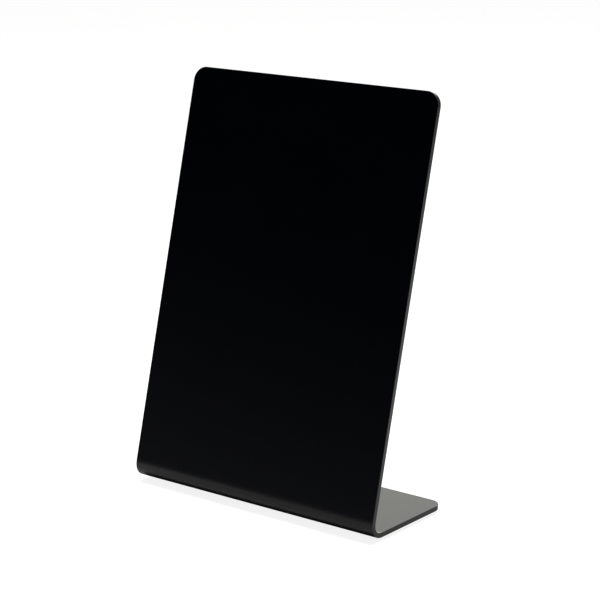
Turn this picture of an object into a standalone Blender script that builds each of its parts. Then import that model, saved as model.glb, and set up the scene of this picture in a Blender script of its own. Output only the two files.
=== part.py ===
"""Table-top sign stand: one steel plate, bent once, standing on four stick-on rubber feet.

Metres, +Z up, +Y towards the back of the stand. The plate's short flange lies flat as
the base, and its long flange leans back over it as the face that carries the sign. The
origin is on the table, at the middle of the stand's footprint box.
"""

import math

import bmesh
import bpy

# The face carries an A4 sheet, upright. Both flanges are measured on the outer side, to
# the corner that they would make if the bend were sharp.
PLATE_WIDTH = 0.210
FACE_LENGTH = 0.297
BASE_LENGTH = 0.085
FACE_LEAN = math.radians(15.0)  # back from upright

PLATE_THICKNESS = 0.0034  # 3.2 mm plate with its coating
BEND_INNER_RADIUS = 0.0070
CORNER_RADIUS = 0.0100
ARRIS_RADIUS = 0.00015  # the cut edges are deburred before coating

FOOT_DIAMETER = 0.0120  # at the stuck side
FOOT_THICKNESS = 0.0015
FOOT_DRAFT = 0.0003  # how much smaller in radius the foot is on the table
FOOT_RIM_RADIUS = 0.0004
FOOT_SIDE_INSET = 0.0180  # foot centre to the plate's side edge
FOOT_REAR_INSET = 0.0160  # foot centre to the plate's rear edge
FOOT_BEND_INSET = 0.0140  # foot centre to the line where the bend begins

ADHESIVE_DIAMETER = 0.0110
ADHESIVE_THICKNESS = 0.0005

SEAT_GAP = 0.0003  # between two solids that rest on each other

# How finely round shapes are divided, and how small an angle is still shaded as smooth.
BEND_STEPS = 28
CORNER_STEPS = 12
ARRIS_STEPS = 3
DISC_STEPS = 48
RIM_STEPS = 4
SMOOTH_ANGLE = math.radians(30.0)
MERGE_DISTANCE = 0.000001

# What follows from the sizes above.
BEND_OUTER_RADIUS = BEND_INNER_RADIUS + PLATE_THICKNESS
BEND_TURN = math.pi / 2 + FACE_LEAN
BEND_SETBACK = BEND_OUTER_RADIUS * math.tan(BEND_TURN / 2)
FACE_FLAT = FACE_LENGTH - BEND_SETBACK
BASE_FLAT = BASE_LENGTH - BEND_SETBACK

FOOT_TOP = FOOT_THICKNESS
ADHESIVE_BOTTOM = FOOT_TOP + SEAT_GAP
ADHESIVE_TOP = ADHESIVE_BOTTOM + ADHESIVE_THICKNESS
PLATE_BOTTOM = ADHESIVE_TOP + SEAT_GAP

# Along Y from the line where the bend begins: the front of the bend, the base's rear
# edge, and the rear of the face's top edge, which overhangs the base on a tall face.
BEND_FRONT = -BEND_OUTER_RADIUS
FACE_TOP_REAR = (
    -BEND_INNER_RADIUS * math.cos(FACE_LEAN) + FACE_FLAT * math.sin(FACE_LEAN)
)
REAR_MOST = max(BASE_FLAT, FACE_TOP_REAR)
BEND_LINE_Y = -(BEND_FRONT + REAR_MOST) / 2


def clear_scene():
    for obj in list(bpy.data.objects):
        bpy.data.objects.remove(obj)


def make_material(name, colour, roughness):
    """A plain non-metallic Principled material."""
    material = bpy.data.materials.new(name)
    material.use_nodes = True
    shader = material.node_tree.nodes["Principled BSDF"]
    shader.inputs["Base Color"].default_value = (*colour, 1.0)
    shader.inputs["Roughness"].default_value = roughness
    shader.inputs["Metallic"].default_value = 0.0
    return material


def add_object(name, bm, material, location=(0.0, 0.0, 0.0)):
    """Turns a bmesh into a named object in the scene."""
    mesh = bpy.data.meshes.new(name)
    bm.to_mesh(mesh)
    bm.free()
    mesh.materials.append(material)
    mesh.shade_smooth()
    mesh.set_sharp_from_angle(angle=SMOOTH_ANGLE)
    obj = bpy.data.objects.new(name, mesh)
    obj.location = location
    bpy.context.scene.collection.objects.link(obj)
    return obj


def corner_arc():
    """(distance in from the plate's end edge, half width there) round one corner of the
    plate, from its side edge to its end edge."""
    for step in range(CORNER_STEPS + 1):
        angle = (math.pi / 2) * step / CORNER_STEPS
        inset = CORNER_RADIUS * (1 - math.sin(angle))
        half = PLATE_WIDTH / 2 - CORNER_RADIUS * (1 - math.cos(angle))
        yield inset, half


def base_point(inset):
    """(y, z) on the outer side, this far in from the base's rear edge."""
    return BEND_LINE_Y + BASE_FLAT - inset, PLATE_BOTTOM


def bend_point(turned):
    """(y, z) on the outer side of the bend, this angle on from where the base ends."""
    y = BEND_LINE_Y - BEND_OUTER_RADIUS * math.sin(turned)
    z = PLATE_BOTTOM + BEND_OUTER_RADIUS * (1 - math.cos(turned))
    return y, z


def face_point(inset):
    """(y, z) on the outer side, this far in from the face's top edge."""
    y, z = bend_point(BEND_TURN)
    along = FACE_FLAT - inset
    return y + along * math.sin(FACE_LEAN), z + along * math.cos(FACE_LEAN)


def add_round_end(bm, row, point_at):
    """Closes one end of the strip with a face that has two of the plate's corners."""
    left, right = row
    arc = list(corner_arc())[1:]
    lefts = [bm.verts.new((-half, *point_at(inset))) for inset, half in arc]
    rights = [bm.verts.new((half, *point_at(inset))) for inset, half in arc]
    bm.faces.new([left, *lefts, *reversed(rights), right])


def build_plate(material):
    """The bent plate: its outer side as a strip, given its thickness inwards."""
    lines = [base_point(CORNER_RADIUS)]
    lines += [bend_point(BEND_TURN * step / BEND_STEPS) for step in range(BEND_STEPS + 1)]
    lines += [face_point(CORNER_RADIUS)]

    bm = bmesh.new()
    rows = [
        [bm.verts.new((side * PLATE_WIDTH / 2, y, z)) for side in (-1, 1)]
        for y, z in lines
    ]
    for (left, right), (next_left, next_right) in zip(rows, rows[1:]):
        bm.faces.new((left, next_left, next_right, right))
    add_round_end(bm, rows[0], base_point)
    add_round_end(bm, rows[-1], face_point)
    bmesh.ops.recalc_face_normals(bm, faces=bm.faces)
    if bm.faces[0].normal.z > 0:
        bmesh.ops.reverse_faces(bm, faces=bm.faces)
    plate = add_object("bent_plate", bm, material)

    thicken = plate.modifiers.new("thickness", "SOLIDIFY")
    thicken.thickness = PLATE_THICKNESS
    thicken.offset = -1.0
    thicken.use_even_offset = True
    thicken.use_quality_normals = True

    soften = plate.modifiers.new("arrises", "BEVEL")
    soften.width = ARRIS_RADIUS
    soften.segments = ARRIS_STEPS
    soften.limit_method = "ANGLE"
    soften.angle_limit = SMOOTH_ANGLE


def build_disc(name, profile, material, location):
    """Turns a profile of (radius, z) points, from the bottom's centre to the top's,
    into a closed disc."""
    bm = bmesh.new()
    points = [bm.verts.new((radius, 0.0, z)) for radius, z in profile]
    edges = [bm.edges.new(pair) for pair in zip(points, points[1:])]
    bmesh.ops.spin(
        bm,
        geom=points + edges,
        cent=(0.0, 0.0, 0.0),
        axis=(0.0, 0.0, 1.0),
        angle=2 * math.pi,
        steps=DISC_STEPS,
        use_merge=True,
    )
    bmesh.ops.remove_doubles(bm, verts=bm.verts, dist=MERGE_DISTANCE)
    bmesh.ops.recalc_face_normals(bm, faces=bm.faces)
    add_object(name, bm, material, location)


def foot_profile():
    """Section of a moulded foot: flat on the table, a rounded rim, a drafted side."""
    table_radius = FOOT_DIAMETER / 2 - FOOT_DRAFT
    rim_centre = table_radius - FOOT_RIM_RADIUS
    profile = [(0.0, 0.0)]
    for step in range(RIM_STEPS + 1):
        angle = (math.pi / 2) * step / RIM_STEPS
        radius = rim_centre + FOOT_RIM_RADIUS * math.sin(angle)
        profile.append((radius, FOOT_RIM_RADIUS * (1 - math.cos(angle))))
    profile.append((FOOT_DIAMETER / 2, FOOT_THICKNESS))
    profile.append((0.0, FOOT_THICKNESS))
    return profile


def adhesive_profile():
    """Section of the adhesive disc that holds a foot to the plate."""
    radius = ADHESIVE_DIAMETER / 2
    return [
        (0.0, 0.0),
        (radius, 0.0),
        (radius, ADHESIVE_THICKNESS),
        (0.0, ADHESIVE_THICKNESS),
    ]


def foot_places():
    """(name, x, y) of each foot's centre under the base."""
    side_x = PLATE_WIDTH / 2 - FOOT_SIDE_INSET
    front_y = BEND_LINE_Y + FOOT_BEND_INSET
    rear_y = BEND_LINE_Y + BASE_FLAT - FOOT_REAR_INSET
    for row, y in (("front", front_y), ("rear", rear_y)):
        for side, x in (("left", -side_x), ("right", side_x)):
            yield f"{row}_{side}", x, y


def main():
    clear_scene()
    coated_steel = make_material("coated_steel", (0.012, 0.012, 0.013), 0.32)
    rubber = make_material("rubber", (0.022, 0.022, 0.022), 0.78)
    adhesive = make_material("adhesive", (0.16, 0.16, 0.15), 0.60)

    build_plate(coated_steel)
    for place, x, y in foot_places():
        build_disc(f"rubber_foot_{place}", foot_profile(), rubber, (x, y, 0.0))
        build_disc(
            f"adhesive_disc_{place}",
            adhesive_profile(),
            adhesive,
            (x, y, ADHESIVE_BOTTOM),
        )


main()
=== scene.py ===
"""Looks of the table-top sign stand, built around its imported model.

The stand is one steel plate with round corners, bent once and coated in satin black
powder, on four stick-on rubber feet. All sizes are in metres, +Z is up and the stand's
back is towards +Y.
"""

from __future__ import annotations

import logging
import math
from dataclasses import dataclass, field
from enum import Enum
from typing import Iterable, Mapping, Sequence, Union

import bpy
import numpy as np
from mathutils import Matrix, Vector


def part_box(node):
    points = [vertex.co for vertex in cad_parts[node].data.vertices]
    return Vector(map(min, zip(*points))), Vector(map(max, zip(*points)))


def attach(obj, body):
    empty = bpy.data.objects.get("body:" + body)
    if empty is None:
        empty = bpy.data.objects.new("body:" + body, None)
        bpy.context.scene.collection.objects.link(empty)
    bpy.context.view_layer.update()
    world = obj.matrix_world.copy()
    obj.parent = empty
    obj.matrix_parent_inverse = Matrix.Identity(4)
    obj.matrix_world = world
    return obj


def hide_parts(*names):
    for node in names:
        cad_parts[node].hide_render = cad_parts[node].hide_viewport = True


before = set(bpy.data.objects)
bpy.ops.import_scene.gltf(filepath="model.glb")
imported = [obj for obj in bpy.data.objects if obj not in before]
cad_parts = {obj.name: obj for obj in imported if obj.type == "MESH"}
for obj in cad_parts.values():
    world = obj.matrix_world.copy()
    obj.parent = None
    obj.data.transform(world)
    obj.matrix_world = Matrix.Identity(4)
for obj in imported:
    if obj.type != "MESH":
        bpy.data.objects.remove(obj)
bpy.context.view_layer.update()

LOG = logging.getLogger("sign_stand")
BODY = "root"

Colour = tuple[float, float, float]
SectionPoint = tuple[float, float, float, float]
OutlinePoint = tuple[float, float, float, float]
Station = tuple[float, float, float, float]

# Slots of the Mix node when it mixes colours.
MIX_SHARE = 0
MIX_LOW = 6
MIX_HIGH = 7
MIX_RESULT = 2

ARRIS_MASK = "arris"


# --- shader graphs -----------------------------------------------------------------


class Channel:
    """An output socket that takes part in Python arithmetic by adding Math nodes."""

    def __init__(self, graph: Graph, socket: bpy.types.NodeSocket) -> None:
        """Wraps a socket of one graph."""
        self.graph = graph
        self.socket = socket

    def _math(self, operation: str, *values: Value) -> Channel:
        """Adds one Math node.

        Args:
            operation: the Math node's operation.
            values: the numbers or channels it works on, in order.

        Returns:
            The node's result.
        """
        return self.graph.node(
            "ShaderNodeMath", {"operation": operation}, dict(enumerate(values))
        )

    def __add__(self, other: Value) -> Channel:
        """Sum."""
        return self._math("ADD", self, other)

    __radd__ = __add__

    def __sub__(self, other: Value) -> Channel:
        """Difference."""
        return self._math("SUBTRACT", self, other)

    def __rsub__(self, other: Value) -> Channel:
        """Difference, reflected."""
        return self._math("SUBTRACT", other, self)

    def __mul__(self, other: Value) -> Channel:
        """Product."""
        return self._math("MULTIPLY", self, other)

    __rmul__ = __mul__

    def __truediv__(self, other: Value) -> Channel:
        """Quotient."""
        return self._math("DIVIDE", self, other)

    def smooth(self, low: float, high: float) -> Channel:
        """A smooth step.

        Args:
            low: the value up to which it is 0.
            high: the value from which it is 1.

        Returns:
            The step.
        """
        return self.graph.node(
            "ShaderNodeMapRange",
            {"interpolation_type": "SMOOTHSTEP"},
            {"Value": self, "From Min": low, "From Max": high},
        )


Value = Union[Channel, float, int, Sequence[float]]


class Graph:
    """A material's or a world's node tree, built in code."""

    def __init__(self, tree: bpy.types.NodeTree) -> None:
        """Empties the tree."""
        tree.nodes.clear()
        self.tree = tree

    def node(
        self,
        kind: str,
        settings: Mapping[str, object] | None = None,
        inputs: Mapping[Union[str, int], Value] | None = None,
        output: Union[str, int] = 0,
    ) -> Channel | None:
        """Adds any node.

        Args:
            kind: the node's type.
            settings: its own properties, set first.
            inputs: values or channels by socket name or number.
            output: the socket that is handed back.

        Returns:
            That output socket, or None from a node that ends a tree.
        """
        made = self.tree.nodes.new(kind)
        for name, setting in (settings or {}).items():
            setattr(made, name, setting)
        for name, value in (inputs or {}).items():
            if isinstance(value, Channel):
                self.tree.links.new(value.socket, made.inputs[name])
            else:
                made.inputs[name].default_value = value
        return Channel(self, made.outputs[output]) if made.outputs else None

    def mix(self, share: Value, low: Value, high: Value) -> Channel:
        """A colour between two colours.

        Args:
            share: 0 gives low and 1 gives high.
            low: the first colour.
            high: the second colour.

        Returns:
            The mixed colour.
        """
        return self.node(
            "ShaderNodeMix",
            {"data_type": "RGBA"},
            {MIX_SHARE: share, MIX_LOW: low, MIX_HIGH: high},
            output=MIX_RESULT,
        )

    def blend(self, share: Value, low: Channel, high: Channel) -> Channel:
        """A shader between two shaders.

        Args:
            share: 0 gives low and 1 gives high.
            low: the first shader.
            high: the second shader.

        Returns:
            The mixed shader.
        """
        return self.node("ShaderNodeMixShader", inputs={0: share, 1: low, 2: high})

    def place(self) -> Channel:
        """The place on the object, in metres."""
        return self.node("ShaderNodeTexCoord", output="Object")

    def part(self, vector: Channel, axis: str) -> Channel:
        """One component of a vector, by the name of its axis."""
        return self.node("ShaderNodeSeparateXYZ", inputs={"Vector": vector}, output=axis)

    def noise(self, size: float, detail: float = 2.0, rough: float = 0.5) -> Channel:
        """Noise from 0 to 1 over the surface.

        Args:
            size: how far apart its lumps are, in metres.
            detail: how many finer layers it has.
            rough: how strong each finer layer is.

        Returns:
            The noise.
        """
        return self.node(
            "ShaderNodeTexNoise",
            inputs={
                "Vector": self.place(),
                "Scale": 1.0 / size,
                "Detail": detail,
                "Roughness": rough,
            },
        )

    def relief(self, height: Value, depth: float) -> Channel:
        """A normal that shows a height map.

        Args:
            height: the height, where 1 is full depth.
            depth: full depth, in metres.

        Returns:
            The bumped normal.
        """
        return self.node("ShaderNodeBump", inputs={"Height": height, "Distance": depth})

    def surface(self, shader: Channel, kind: str = "ShaderNodeOutputMaterial") -> None:
        """Ends the tree with a shader."""
        self.node(kind, inputs={"Surface": shader})


def rgba(colour: Colour) -> tuple[float, float, float, float]:
    """A colour with full opacity."""
    return (*colour, 1.0)


class Finish:
    """A surface finish that makes its own material once."""

    name: str

    def material(self) -> bpy.types.Material:
        """The finish's material, made on first use."""
        made = bpy.data.materials.get(self.name)
        if made is None:
            made = bpy.data.materials.new(self.name)
            made.use_nodes = True
            self.paint(Graph(made.node_tree))
        return made

    def paint(self, graph: Graph) -> None:
        """Builds the finish's shader."""
        raise NotImplementedError


@dataclass(frozen=True)
class PowderCoat(Finish):
    """Satin black powder coat, with orange peel and a fine grain, that pulls a little
    thin over the plate's arrises."""

    name: str = "satin_black_powder_coat"
    colour: Colour = (0.0006, 0.0011, 0.0021)
    arris_colour: Colour = (0.0060, 0.0060, 0.0062)
    roughness: float = 0.19
    cloud_roughness: float = 0.03
    grain_roughness: float = 0.02
    ior: float = 1.5
    least_wear: float = 0.55
    cloud_size: float = 0.045
    peel_size: float = 0.0018
    peel_depth: float = 0.0000170
    grain_size: float = 0.00036
    grain_depth: float = 0.0000034

    def paint(self, graph: Graph) -> None:
        """Builds the finish's shader."""
        arris = graph.node(
            "ShaderNodeAttribute", {"attribute_name": ARRIS_MASK}, output="Fac"
        )
        clouds = graph.noise(self.cloud_size, detail=3.0)
        peel = graph.noise(self.peel_size, detail=1.0, rough=0.4)
        grain = graph.noise(self.grain_size, detail=1.0)

        worn = arris * (self.least_wear + (1 - self.least_wear) * clouds)
        roughness = (
            self.roughness
            + (clouds - 0.5) * (2 * self.cloud_roughness)
            + (grain - 0.5) * (2 * self.grain_roughness)
        )
        skin = peel + grain * (self.grain_depth / self.peel_depth)
        shader = graph.node(
            "ShaderNodeBsdfPrincipled",
            inputs={
                "Base Color": graph.mix(worn, rgba(self.colour), rgba(self.arris_colour)),
                "Roughness": roughness,
                "Metallic": 0.0,
                "IOR": self.ior,
                "Normal": graph.relief(skin, self.peel_depth),
            },
        )
        graph.surface(shader)


@dataclass(frozen=True)
class MouldedRubber(Finish):
    """Matt black rubber with the fine spark texture of its mould."""

    name: str = "moulded_black_rubber"
    colour: Colour = (0.020, 0.020, 0.021)
    bloom_colour: Colour = (0.034, 0.034, 0.033)
    roughness: float = 0.72
    spark_roughness: float = 0.10
    bloom_size: float = 0.0035
    bloom_reach: tuple[float, float] = (0.40, 0.70)
    spark_size: float = 0.00030
    spark_depth: float = 0.000012

    def paint(self, graph: Graph) -> None:
        """Builds the finish's shader."""
        bloom = graph.noise(self.bloom_size, detail=4.0, rough=0.6)
        spark = graph.noise(self.spark_size, detail=2.0)
        shader = graph.node(
            "ShaderNodeBsdfPrincipled",
            inputs={
                "Base Color": graph.mix(
                    bloom.smooth(*self.bloom_reach),
                    rgba(self.colour),
                    rgba(self.bloom_colour),
                ),
                "Roughness": self.roughness + (spark - 0.5) * (2 * self.spark_roughness),
                "Metallic": 0.0,
                "Normal": graph.relief(spark, self.spark_depth),
            },
        )
        graph.surface(shader)


@dataclass(frozen=True)
class AdhesiveFilm(Finish):
    """Grey acrylic adhesive film, faintly mottled by the air trapped in it."""

    name: str = "grey_acrylic_adhesive"
    colour: Colour = (0.13, 0.13, 0.125)
    mottle_colour: Colour = (0.20, 0.20, 0.19)
    roughness: float = 0.60
    mottle_roughness: float = 0.10
    mottle_size: float = 0.00025
    mottle_depth: float = 0.00001

    def paint(self, graph: Graph) -> None:
        """Builds the finish's shader."""
        mottle = graph.node(
            "ShaderNodeTexVoronoi",
            inputs={"Vector": graph.place(), "Scale": 1.0 / self.mottle_size},
        )
        shader = graph.node(
            "ShaderNodeBsdfPrincipled",
            inputs={
                "Base Color": graph.mix(
                    mottle, rgba(self.colour), rgba(self.mottle_colour)
                ),
                "Roughness": self.roughness + self.mottle_roughness * mottle,
                "Metallic": 0.0,
                "Normal": graph.relief(mottle, self.mottle_depth),
            },
        )
        graph.surface(shader)


@dataclass(frozen=True)
class PaleSweep(Finish):
    """Matt white sweep paper on a light table. Painted shade stands in for its light in what the
    stand reflects of it: grey, darkest far out in front and lightest behind. From below the
    paper is clear."""

    name: str = "pale_sweep_paper"
    colour: Colour = (0.90, 0.90, 0.90)
    table_light: Colour = (1.16, 1.16, 1.16)
    shine_through: float = 0.75
    # Painted shade: grey levels that stand in for the floor's light in what the stand reflects,
    # from behind it to far in front.
    rear_reflected_shade: Colour = (0.56, 0.56, 0.56)
    side_reflected_shade: Colour = (0.38, 0.38, 0.38)
    near_reflected_shade: Colour = (0.37, 0.37, 0.37)
    far_reflected_shade: Colour = (0.10, 0.10, 0.105)
    rear_shade_edge: tuple[float, float] = (0.00, 0.16)
    side_shade_edge: tuple[float, float] = (-0.045, -0.030)
    far_shade_edge: tuple[float, float] = (-0.24, -0.035)

    def paint(self, graph: Graph) -> None:
        """Builds the finish's shader."""
        rearward = graph.part(graph.place(), "Y")
        # Painted shade by place: darkest far out in front, lighter near the stand, a little
        # lighter at its sides and lightest behind it.
        painted_shade_colour: Value = rgba(self.far_reflected_shade)
        for edge, shade_level in (
            (self.far_shade_edge, self.near_reflected_shade),
            (self.side_shade_edge, self.side_reflected_shade),
            (self.rear_shade_edge, self.rear_reflected_shade),
        ):
            painted_shade_colour = graph.mix(rearward.smooth(*edge), painted_shade_colour, rgba(shade_level))
        paper = graph.node("ShaderNodeBsdfDiffuse", inputs={"Color": rgba(self.colour)})
        painted_shade_bsdf = graph.node("ShaderNodeBsdfDiffuse", inputs={"Color": painted_shade_colour})
        table = graph.node(
            "ShaderNodeEmission", inputs={"Color": rgba(self.table_light)}
        )
        lit = graph.blend(self.shine_through, paper, table)
        seen = graph.node("ShaderNodeLightPath", output="Is Camera Ray")
        # Camera rays see the paper and its glow; all other rays see the painted shade.
        from_above = graph.blend(seen, painted_shade_bsdf, lit)
        below = graph.node("ShaderNodeNewGeometry", output="Backfacing")
        clear = graph.node("ShaderNodeBsdfTransparent")
        graph.surface(graph.blend(below, from_above, clear))


# --- meshes --------------------------------------------------------------------------


@dataclass
class Skin:
    """A closed mesh under construction: points, faces, exact normals and a mask."""

    points: list[np.ndarray] = field(default_factory=list)
    normals: list[np.ndarray] = field(default_factory=list)
    mask: list[float] = field(default_factory=list)
    faces: list[tuple[int, ...]] = field(default_factory=list)

    def add(
        self, point: Sequence[float], normal: Sequence[float], mask: float = 0.0
    ) -> int:
        """Adds a point.

        Args:
            point: its place.
            normal: the surface's exact normal there.
            mask: how far it lies on a rounded arris, from 0 to 1.

        Returns:
            The point's number.
        """
        self.points.append(np.array(point, float))
        self.normals.append(np.array(normal, float))
        self.mask.append(mask)
        return len(self.points) - 1

    def strip(
        self, first: Sequence[int], second: Sequence[int], closed: bool = True
    ) -> None:
        """Fills the band between two rows of points with four-sided faces.

        Args:
            first: the numbers of one row.
            second: those of the other, as many.
            closed: whether the rows run round in a ring.
        """
        count = len(first)
        for i in range(count if closed else count - 1):
            j = (i + 1) % count
            self.faces.append((first[i], first[j], second[j], second[i]))

    def piece(self, name: str, finish: Finish) -> bpy.types.Object:
        """Makes the mesh into a named, smooth-shaded piece.

        Args:
            name: the piece's name.
            finish: what it is finished in.

        Returns:
            The object, in the scene.
        """
        mesh = bpy.data.meshes.new(name)
        mesh.from_pydata([tuple(p) for p in self.points], [], self.faces)
        mesh.materials.append(finish.material())
        mesh.shade_smooth()
        attribute = mesh.attributes.new(ARRIS_MASK, "FLOAT", "POINT")
        attribute.data.foreach_set("value", np.array(self.mask, np.float32))
        mesh.normals_split_custom_set_from_vertices([tuple(n) for n in self.normals])
        mesh.update()
        made = bpy.data.objects.new(name, mesh)
        bpy.context.scene.collection.objects.link(made)
        return made


# --- the bent plate ------------------------------------------------------------------


@dataclass
class BentPlate:
    """The coated plate: cut flat with round corners, its arrises softened, then bent.

    The bend's curvature builds up over a lead-in at each end, as a folded plate's does.
    Its tight middle makes up for that, so both flanges and the bend's front lie where
    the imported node's round bend puts them.
    """

    node: str = "bent_plate"
    finish: Finish = field(default_factory=PowderCoat)
    lean: float = math.radians(15.0)
    thickness: float = 0.0034
    lead_in: float = 0.0040
    tight_radius: float = 0.00919812
    bend_steps: int = 2000
    corner_radius: float = 0.0100
    arris_radius: float = 0.00015
    column_pitch: float = 0.0105
    row_pitch: float = 0.0105
    bend_rows: int = 56
    corner_rows: int = 16
    arris_rows: int = 5
    edge_rows: int = 2

    def __post_init__(self) -> None:
        """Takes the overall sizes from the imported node."""
        low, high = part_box(self.node)
        self.width = high.x - low.x
        self.turn = math.pi / 2 + self.lean
        self._trace_bend(low)
        self.base_flat = high.y - self.bend_y[0]
        self.length = self.base_flat + self.bend_length + self._face_flat(high.z)

    def _trace_bend(self, low: Vector) -> None:
        """Traces the outer side of the bend, from the base to the face.

        Args:
            low: the plate's lowest corner, whose y the bend's front touches.
        """
        ramp = self.tight_radius * self.turn
        window = 2 * self.lead_in
        self.bend_length = ramp + window
        self.bend_s = np.linspace(0.0, self.bend_length, self.bend_steps + 1)
        passed = self._turned_sum(self.bend_s, ramp)
        passed -= self._turned_sum(self.bend_s - window, ramp)
        self.bend_turn = passed / window / self.tight_radius
        step = self.bend_s[1]
        ways = (-np.cos(self.bend_turn), np.sin(self.bend_turn))
        forward, upward = (
            np.concatenate([[0.0], np.cumsum((way[1:] + way[:-1]) / 2 * step)])
            for way in ways
        )
        self.bend_y = low.y - forward.min() + forward
        self.bend_z = low.z + upward

    @staticmethod
    def _turned_sum(places: np.ndarray, ramp: float) -> np.ndarray:
        """Sums up how far a bend without lead-ins has turned.

        Args:
            places: distances along the plate from where that bend begins.
            ramp: that bend's length.

        Returns:
            The sum up to each place, for a bend that turns by one a metre.
        """
        inside = np.clip(places, 0.0, ramp)
        return inside**2 / 2 + ramp * np.clip(places - ramp, 0.0, None)

    def _face_flat(self, top: float) -> float:
        """Works out the straight part of the face.

        Args:
            top: the height of the plate's topmost point, on a rounded arris.

        Returns:
            The straight part's length, up to the blank's square end.
        """
        arris = self.arris_radius
        rise = top - self.bend_z[-1] - arris + arris * math.sin(self.lean)
        return rise / math.cos(self.lean) + arris

    def build(self) -> bpy.types.Object:
        """Builds the plate.

        Returns:
            The piece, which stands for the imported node.
        """
        skin = Skin()
        rings = [self._ring(skin, *section) for section in self._arris()]
        for first, second in zip(rings, rings[1:]):
            skin.strip(second, first)
        self._fill(skin, rings[0], 0.0, outer=True)
        self._fill(skin, rings[-1], self.thickness, outer=False)
        piece = skin.piece("coated_bent_plate", self.finish)
        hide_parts(self.node)
        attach(piece, BODY)
        return piece

    def _arris(self) -> Iterable[tuple[float, float, float]]:
        """The rim's section, from the outer side over the edge to the inner side.

        Returns:
            (distance in from the edge, depth under the outer side, angle of the
            surface's normal from the outer side's normal) of each ring.
        """
        arris = self.arris_radius
        for step in range(self.arris_rows + 1):
            angle = math.pi / 2 * step / self.arris_rows
            yield arris * (1 - math.sin(angle)), arris * (1 - math.cos(angle)), angle
        straight = self.thickness - 2 * arris
        for step in range(1, self.edge_rows):
            yield 0.0, arris + straight * step / self.edge_rows, math.pi / 2
        for step in range(self.arris_rows + 1):
            angle = math.pi / 2 * (1 + step / self.arris_rows)
            depth = self.thickness - arris * (1 + math.cos(angle))
            yield arris * (1 - math.sin(angle)), depth, angle

    def _stations(self) -> list[Station]:
        """The right half of the flat blank's outline, from its base end to its face end.

        Returns:
            (centre x, centre s, radius, angle) of each point, where s runs along the
            blank. Points on the straight side have an angle of 0.
        """
        radius = self.corner_radius
        side = self.width / 2 - radius
        low, high = radius, self.length - radius
        count = self.corner_rows
        quarter = [math.pi / 2 * k / count for k in range(count + 1)]
        places = [(side, low, radius, angle - math.pi / 2) for angle in quarter]
        places += [(side, s, radius, 0.0) for s in self._row_places(low, high)]
        places += [(side, high, radius, angle) for angle in quarter]
        return places

    def _row_places(self, low: float, high: float) -> list[float]:
        """Places the rows that cross the blank between its round corners.

        Args:
            low: where the straight side begins.
            high: where it ends.

        Returns:
            Each row's place along the blank, closer together in the bend.
        """
        first, last = self.base_flat, self.base_flat + self.bend_length
        rows: list[float] = []
        for start, end, count in (
            (low, first, round((first - low) / self.row_pitch)),
            (first, last, self.bend_rows),
            (last, high, round((high - last) / self.row_pitch)),
        ):
            rows += [start + (end - start) * k / count for k in range(1, count + 1)]
        return rows[:-1]

    def _outline(self, inset: float) -> list[OutlinePoint]:
        """The whole outline, this far in from the blank's edge.

        Args:
            inset: the distance in from the edge.

        Returns:
            (x, s, normal x, normal s) of each point, round from the base end's left.
        """
        right = [
            (
                x + (radius - inset) * math.cos(angle),
                s + (radius - inset) * math.sin(angle),
                math.cos(angle),
                math.sin(angle),
            )
            for x, s, radius, angle in self._stations()
        ]
        left = [(-x, s, -nx, ns) for x, s, nx, ns in reversed(right)]
        return (
            self._end_points(right[0], -1.0)
            + right
            + list(reversed(self._end_points(right[-1], 1.0)))
            + left
        )

    def _columns(self) -> int:
        """How many columns cross the plate."""
        return round((self.width - 2 * self.corner_radius) / self.column_pitch)

    def _end_points(self, corner: OutlinePoint, way: float) -> list[OutlinePoint]:
        """The points along one end edge, between its round corners.

        Args:
            corner: the outline's point where the right round corner ends.
            way: 1 at the face's end of the blank and -1 at the base's.

        Returns:
            (x, s, normal x, normal s) of each point, from left to right.
        """
        x, s, _, _ = corner
        count = self._columns()
        return [(x * (2 * k / count - 1), s, 0.0, way) for k in range(1, count)]

    def _ring(self, skin: Skin, inset: float, depth: float, tilt: float) -> list[int]:
        """Adds one ring of the rim.

        Args:
            skin: the mesh.
            inset: how far in from the blank's edge the ring lies.
            depth: how deep it lies under the outer side.
            tilt: the angle of its normals from the outer side's normal.

        Returns:
            The numbers of its points.
        """
        on_arris = 1.0 - abs(math.cos(2 * tilt))
        numbers = []
        for x, s, nx, ns in self._outline(inset):
            flat = (nx * math.sin(tilt), ns * math.sin(tilt), math.cos(tilt))
            point, normal = self._bend(x, s, depth, flat)
            numbers.append(skin.add(point, normal, on_arris))
        return numbers

    def _fill(self, skin: Skin, ring: Sequence[int], depth: float, outer: bool) -> None:
        """Fills one side of the plate with rows from its left edge to its right.

        Args:
            skin: the mesh.
            ring: the rim's ring on that side.
            depth: how deep the side lies under the outer one.
            outer: whether it is the outer side.
        """
        count = self._columns()
        side = len(self._stations())
        first = [ring[-1], *ring[: count - 1], ring[count - 1]]
        right = ring[count - 1 : count - 1 + side]
        last_start = count - 1 + side
        last = list(reversed(ring[last_start : last_start + count - 1]))
        left = list(reversed(ring[last_start + count - 1 :]))
        up = (0.0, 0.0, 1.0 if outer else -1.0)
        rows = [first]
        outline = self._outline(self.arris_radius)[count - 1 : count - 1 + side]
        for number, (x, s, _, _) in enumerate(outline[1:-1], start=1):
            inner = [
                skin.add(*self._bend(x * (2 * k / count - 1), s, depth, up))
                for k in range(1, count)
            ]
            rows.append([left[number], *inner, right[number]])
        rows.append([left[-1], *last, right[-1]])
        for row, following in zip(rows, rows[1:]):
            if outer:
                skin.strip(row, following, closed=False)
            else:
                skin.strip(following, row, closed=False)

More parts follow.
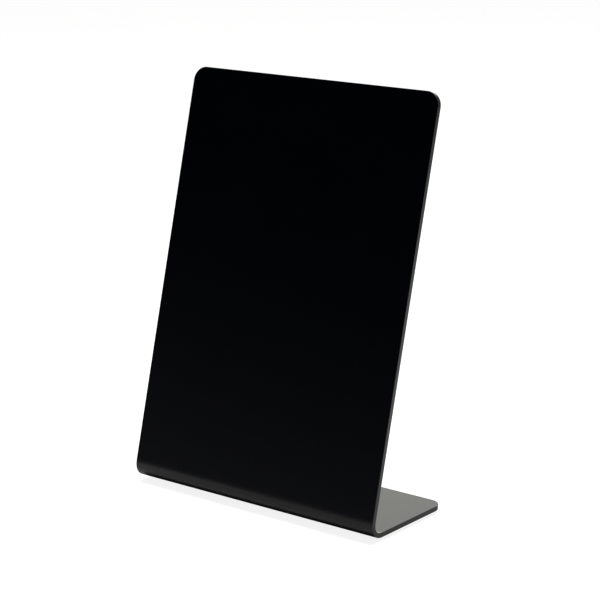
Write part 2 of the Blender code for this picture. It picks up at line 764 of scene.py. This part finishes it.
    def _bend(
        self, x: float, s: float, depth: float, flat: Sequence[float]
    ) -> tuple[Sequence[float], Sequence[float]]:
        """Takes a point of the flat blank to its place on the bent plate.

        Args:
            x: its place across the blank.
            s: its place along the blank, from the base end.
            depth: how deep it lies under the outer side.
            flat: the surface's normal there, as (across, along, out).

        Returns:
            The point and its normal.
        """
        over = min(max(s - self.base_flat, 0.0), self.bend_length)
        turned, y, z = (
            float(np.interp(over, self.bend_s, trace))
            for trace in (self.bend_turn, self.bend_y, self.bend_z)
        )
        along = Vector((0.0, -math.cos(turned), math.sin(turned)))
        out = Vector((0.0, -math.sin(turned), -math.cos(turned)))
        beyond = s - self.base_flat - over
        point = Vector((x, y, z)) - out * depth + along * beyond
        normal = Vector((flat[0], 0.0, 0.0)) + along * flat[1] + out * flat[2]
        return point, normal


# --- the feet ------------------------------------------------------------------------


class Place(Enum):
    """Where a foot is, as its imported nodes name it."""

    FRONT_LEFT = "front_left"
    FRONT_RIGHT = "front_right"
    REAR_LEFT = "rear_left"
    REAR_RIGHT = "rear_right"


@dataclass
class StickOnFoot:
    """A low moulded rubber foot and the adhesive disc that holds it to the plate."""

    place: Place
    rubber: Finish = field(default_factory=MouldedRubber)
    adhesive: Finish = field(default_factory=AdhesiveFilm)
    rim_radius: float = 0.0004
    draft: float = 0.0003
    top_rim_radius: float = 0.00015
    film_rim_radius: float = 0.000075
    film_waist: float = 0.0002
    segments: int = 96
    rim_steps: int = 6
    flat_rings: int = 4

    def build(self) -> list[bpy.types.Object]:
        """Builds the foot and its adhesive disc.

        Returns:
            Both pieces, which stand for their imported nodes.
        """
        return [
            self._turned(f"rubber_foot_{self.place.value}", "moulded", self.rubber, "rubber"),
            self._turned(f"adhesive_disc_{self.place.value}", "film", self.adhesive, "adhesive"),
        ]

    def _turned(self, node: str, prefix: str, finish: Finish, slot: str) -> bpy.types.Object:
        """Turns one piece's section round the foot's axis.

        Args:
            node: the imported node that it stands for.
            prefix: how its own name starts.
            finish: what it is finished in.
            slot: the record's material slot.

        Returns:
            The piece.
        """
        low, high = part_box(node)
        middle = (low + high) / 2
        radius = (high.x - low.x) / 2
        if slot == "rubber":
            section = self._foot_section(radius, low.z, high.z)
        else:
            section = self._film_section(radius)
        piece = self._spin(section, middle).piece(f"{prefix}_{node}", finish)
        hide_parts(node)
        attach(piece, BODY)
        return piece

    def _foot_section(self, radius: float, low: float, high: float) -> list[SectionPoint]:
        """Draws the foot's section.

        Args:
            radius: the foot's largest radius, at its top.
            low: the height of its underside.
            high: the height of its top.

        Returns:
            (radius, z, normal outwards, normal up) of each point, from the bottom up.
        """
        table_radius = radius - self.draft
        section = self._flat(table_radius, low, -1.0)
        section += self._rim(table_radius, low, self.rim_radius, -1.0)
        section += reversed(self._rim(radius, high, self.top_rim_radius, 1.0))
        section += reversed(self._flat(radius, high, 1.0))
        return section

    def _flat(self, radius: float, level: float, up: float) -> list[SectionPoint]:
        """Draws a flat side, from near the axis out to its rim.

        Args:
            radius: the wall's radius.
            level: the height of the flat side.
            up: 1 where the flat side faces up and -1 where it faces down.

        Returns:
            (radius, z, normal outwards, normal up) of each point.
        """
        rings = self.flat_rings
        return [(radius * k / rings, level, 0.0, up) for k in range(1, rings)]

    def _rim(self, radius: float, level: float, rim: float, up: float) -> list[SectionPoint]:
        """Draws a rounded rim, from the flat side out to the wall.

        Args:
            radius: the wall's radius.
            level: the height of the flat side.
            rim: the rim's own radius.
            up: 1 where the flat side faces up and -1 where it faces down.

        Returns:
            (radius, z, normal outwards, normal up) of each point.
        """
        steps = [math.pi / 2 * k / self.rim_steps for k in range(self.rim_steps + 1)]
        return [
            (
                radius - rim + rim * math.sin(angle),
                level - up * rim * (1 - math.cos(angle)),
                math.sin(angle),
                up * math.cos(angle),
            )
            for angle in steps
        ]

    def _film_section(self, radius: float) -> list[SectionPoint]:
        """Draws the film's section, which fills the space between the foot and the
        plate and is drawn in at its waist.

        Args:
            radius: the film's largest radius.

        Returns:
            (radius, z, normal outwards, normal up) of each point, from the bottom up.
        """
        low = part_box(f"rubber_foot_{self.place.value}")[1].z
        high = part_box("bent_plate")[0].z
        rim = self.film_rim_radius
        section = self._flat(radius, low, -1.0)
        section += self._rim(radius, low, rim, -1.0)
        for k in range(1, self.rim_steps):
            share = k / self.rim_steps
            waist = self.film_waist * math.sin(math.pi * share)
            level = low + rim + (high - low - 2 * rim) * share
            section.append((radius - waist, level, 1.0, 0.0))
        section += reversed(self._rim(radius, high, rim, 1.0))
        section += reversed(self._flat(radius, high, 1.0))
        return section

    def _spin(self, section: Sequence[SectionPoint], middle: Vector) -> Skin:
        """Turns a section round an upright axis.

        Args:
            section: (radius, z, normal outwards, normal up) of its points, from the
                bottom's middle to the top's.
            middle: a point on the axis.

        Returns:
            The closed mesh.
        """
        skin = Skin()
        rings = []
        for radius, z, out, up in section:
            ring = []
            for k in range(self.segments):
                angle = 2 * math.pi * k / self.segments
                across = Vector((math.cos(angle), math.sin(angle), 0.0))
                point = Vector((middle.x, middle.y, z)) + across * radius
                ring.append(skin.add(point, across * out + Vector((0.0, 0.0, up))))
            rings.append(ring)
        for first, second in zip(rings, rings[1:]):
            skin.strip(first, second)
        bottom, top = section[0][1], section[-1][1]
        for ring, z, up in ((rings[0], bottom, -1.0), (rings[-1], top, 1.0)):
            centre = skin.add((middle.x, middle.y, z), (0.0, 0.0, up))
            for k in range(self.segments):
                pair = (ring[k], ring[(k + 1) % self.segments])
                skin.faces.append((centre, *(pair if up > 0 else reversed(pair))))
        return skin


# --- the studio ----------------------------------------------------------------------


@dataclass(frozen=True)
class Softbox:
    """A square softbox that faces the foot of the stand."""

    name: str
    place: tuple[float, float, float]
    size: float
    power: float

    def hang(self) -> None:
        """Hangs the lamp in its place."""
        data = bpy.data.lights.new(self.name, "AREA")
        data.shape = "SQUARE"
        data.size = self.size
        data.energy = self.power
        lamp = bpy.data.objects.new(self.name, data)
        lamp.location = self.place
        lamp.rotation_mode = "QUATERNION"
        lamp.rotation_quaternion = (-lamp.location).to_track_quat("-Z", "Y")
        bpy.context.scene.collection.objects.link(lamp)


@dataclass
class Studio:
    """A matt pale floor under a soft surround and an overhead softbox."""

    floor_radius: float = 9.0
    rear_light: Colour = (1.36, 1.36, 1.28)
    horizon_light: Colour = (2.60, 2.60, 2.50)
    horizon_reach: tuple[float, float] = (0.00, 0.12)
    right_light: Colour = (0.30, 0.30, 0.30)
    right_reach: tuple[float, float] = (-0.42, 0.05)
    rear_reach: tuple[float, float] = (-0.05, 0.45)
    overhead_strength: float = 0.4
    overhead_reach: tuple[float, float] = (0.55, 0.90)
    front_dark: Colour = (0.0015, 0.0020, 0.0040)
    front_glow: Colour = (0.18, 0.18, 0.20)
    front_glow_reach: tuple[float, float] = (-0.04, 0.175)
    seen_colour: Colour = (1.0, 1.0, 1.0)
    softbox: Softbox = Softbox("softbox_overhead", (0.0, 0.35, 1.7), 1.2, 50.0)

    def build(self) -> None:
        """Builds the floor, the surround and the softbox."""
        self._floor()
        self._surround()
        self.softbox.hang()
        view = bpy.context.scene.view_settings
        view.view_transform = "Standard"
        view.look = "None"

    def _floor(self) -> None:
        """Lays the floor at the height that the feet stand on."""
        mesh = bpy.data.meshes.new("floor")
        reach = self.floor_radius
        turns = ((-1, -1), (1, -1), (1, 1), (-1, 1))
        corners = [(x * reach, y * reach, 0.0) for x, y in turns]
        mesh.from_pydata(corners, [], [(0, 1, 2, 3)])
        mesh.materials.append(PaleSweep().material())
        floor = bpy.data.objects.new("floor", mesh)
        bpy.context.scene.collection.objects.link(floor)

    def _surround(self) -> None:
        """Paints the surround, which is bright at the rear left, most so low down, dim
        at the rear right, dark in front and grey overhead. Lenses see it white."""
        world = bpy.data.worlds.new("surround")
        world.use_nodes = True
        bpy.context.scene.world = world
        graph = Graph(world.node_tree)
        direction = graph.node("ShaderNodeTexCoord", output="Generated")
        rear = graph.part(direction, "Y").smooth(*self.rear_reach)
        height = graph.part(direction, "Z")
        overhead = height.smooth(*self.overhead_reach)
        glow = 1.0 - height.smooth(*self.front_glow_reach)
        front = graph.mix(glow, rgba(self.front_dark), rgba(self.front_glow))
        over = graph.mix(overhead, front, rgba((self.overhead_strength,) * 3))
        sky = graph.mix(
            height.smooth(*self.horizon_reach),
            rgba(self.horizon_light),
            rgba(self.rear_light),
        )
        rightward = graph.part(direction, "X").smooth(*self.right_reach)
        sky = graph.mix(rightward, sky, rgba(self.right_light))
        light = graph.node(
            "ShaderNodeBackground", inputs={"Color": graph.mix(rear, over, sky)}
        )
        seen = graph.node(
            "ShaderNodeBackground", inputs={"Color": rgba(self.seen_colour)}
        )
        camera_ray = graph.node("ShaderNodeLightPath", output="Is Camera Ray")
        graph.surface(graph.blend(camera_ray, light, seen), "ShaderNodeOutputWorld")


@dataclass
class Viewpoint:
    """The camera: a long lens from the stand's front right, a little above it."""

    target: tuple[float, float, float] = (0.0, 0.01677, 0.13782)
    distance: float = 1.43643
    azimuth: float = math.radians(38.741)
    elevation: float = math.radians(14.591)
    roll: float = math.radians(-0.563)
    lens_mm: float = 125.1
    sensor_mm: float = 36.0
    near_clip: float = 0.05
    far_clip: float = 50.0

    def build(self) -> None:
        """Sets the camera up."""
        data = bpy.data.cameras.new("camera")
        data.lens = self.lens_mm
        data.sensor_width = self.sensor_mm
        data.clip_start = self.near_clip
        data.clip_end = self.far_clip
        back = Vector(
            (
                math.sin(self.azimuth) * math.cos(self.elevation),
                -math.cos(self.azimuth) * math.cos(self.elevation),
                math.sin(self.elevation),
            )
        )
        camera = bpy.data.objects.new("camera", data)
        level = (-back).to_track_quat("-Z", "Y").to_matrix().to_4x4()
        place = Matrix.Translation(Vector(self.target) + back * self.distance)
        camera.matrix_world = place @ level @ Matrix.Rotation(self.roll, 4, "Z")
        bpy.context.scene.collection.objects.link(camera)
        bpy.context.scene.camera = camera


# --- the whole -----------------------------------------------------------------------


def report(pieces: Iterable[bpy.types.Object]) -> None:
    """Logs each piece's size and faces.

    Args:
        pieces: the pieces, as they are built.
    """
    for piece in pieces:
        size = ", ".join(f"{1000 * side:.1f}" for side in piece.dimensions)
        LOG.info("%s: %s mm, %d faces", piece.name, size, len(piece.data.polygons))


def main() -> None:
    """Builds the stand's looks, the studio and the camera."""
    logging.basicConfig(level=logging.INFO, format="%(name)s: %(message)s")
    Viewpoint().build()
    Studio().build()
    report([BentPlate().build()])
    for place in Place:
        report(StickOnFoot(place).build())


if __name__ == "__main__":
    main()
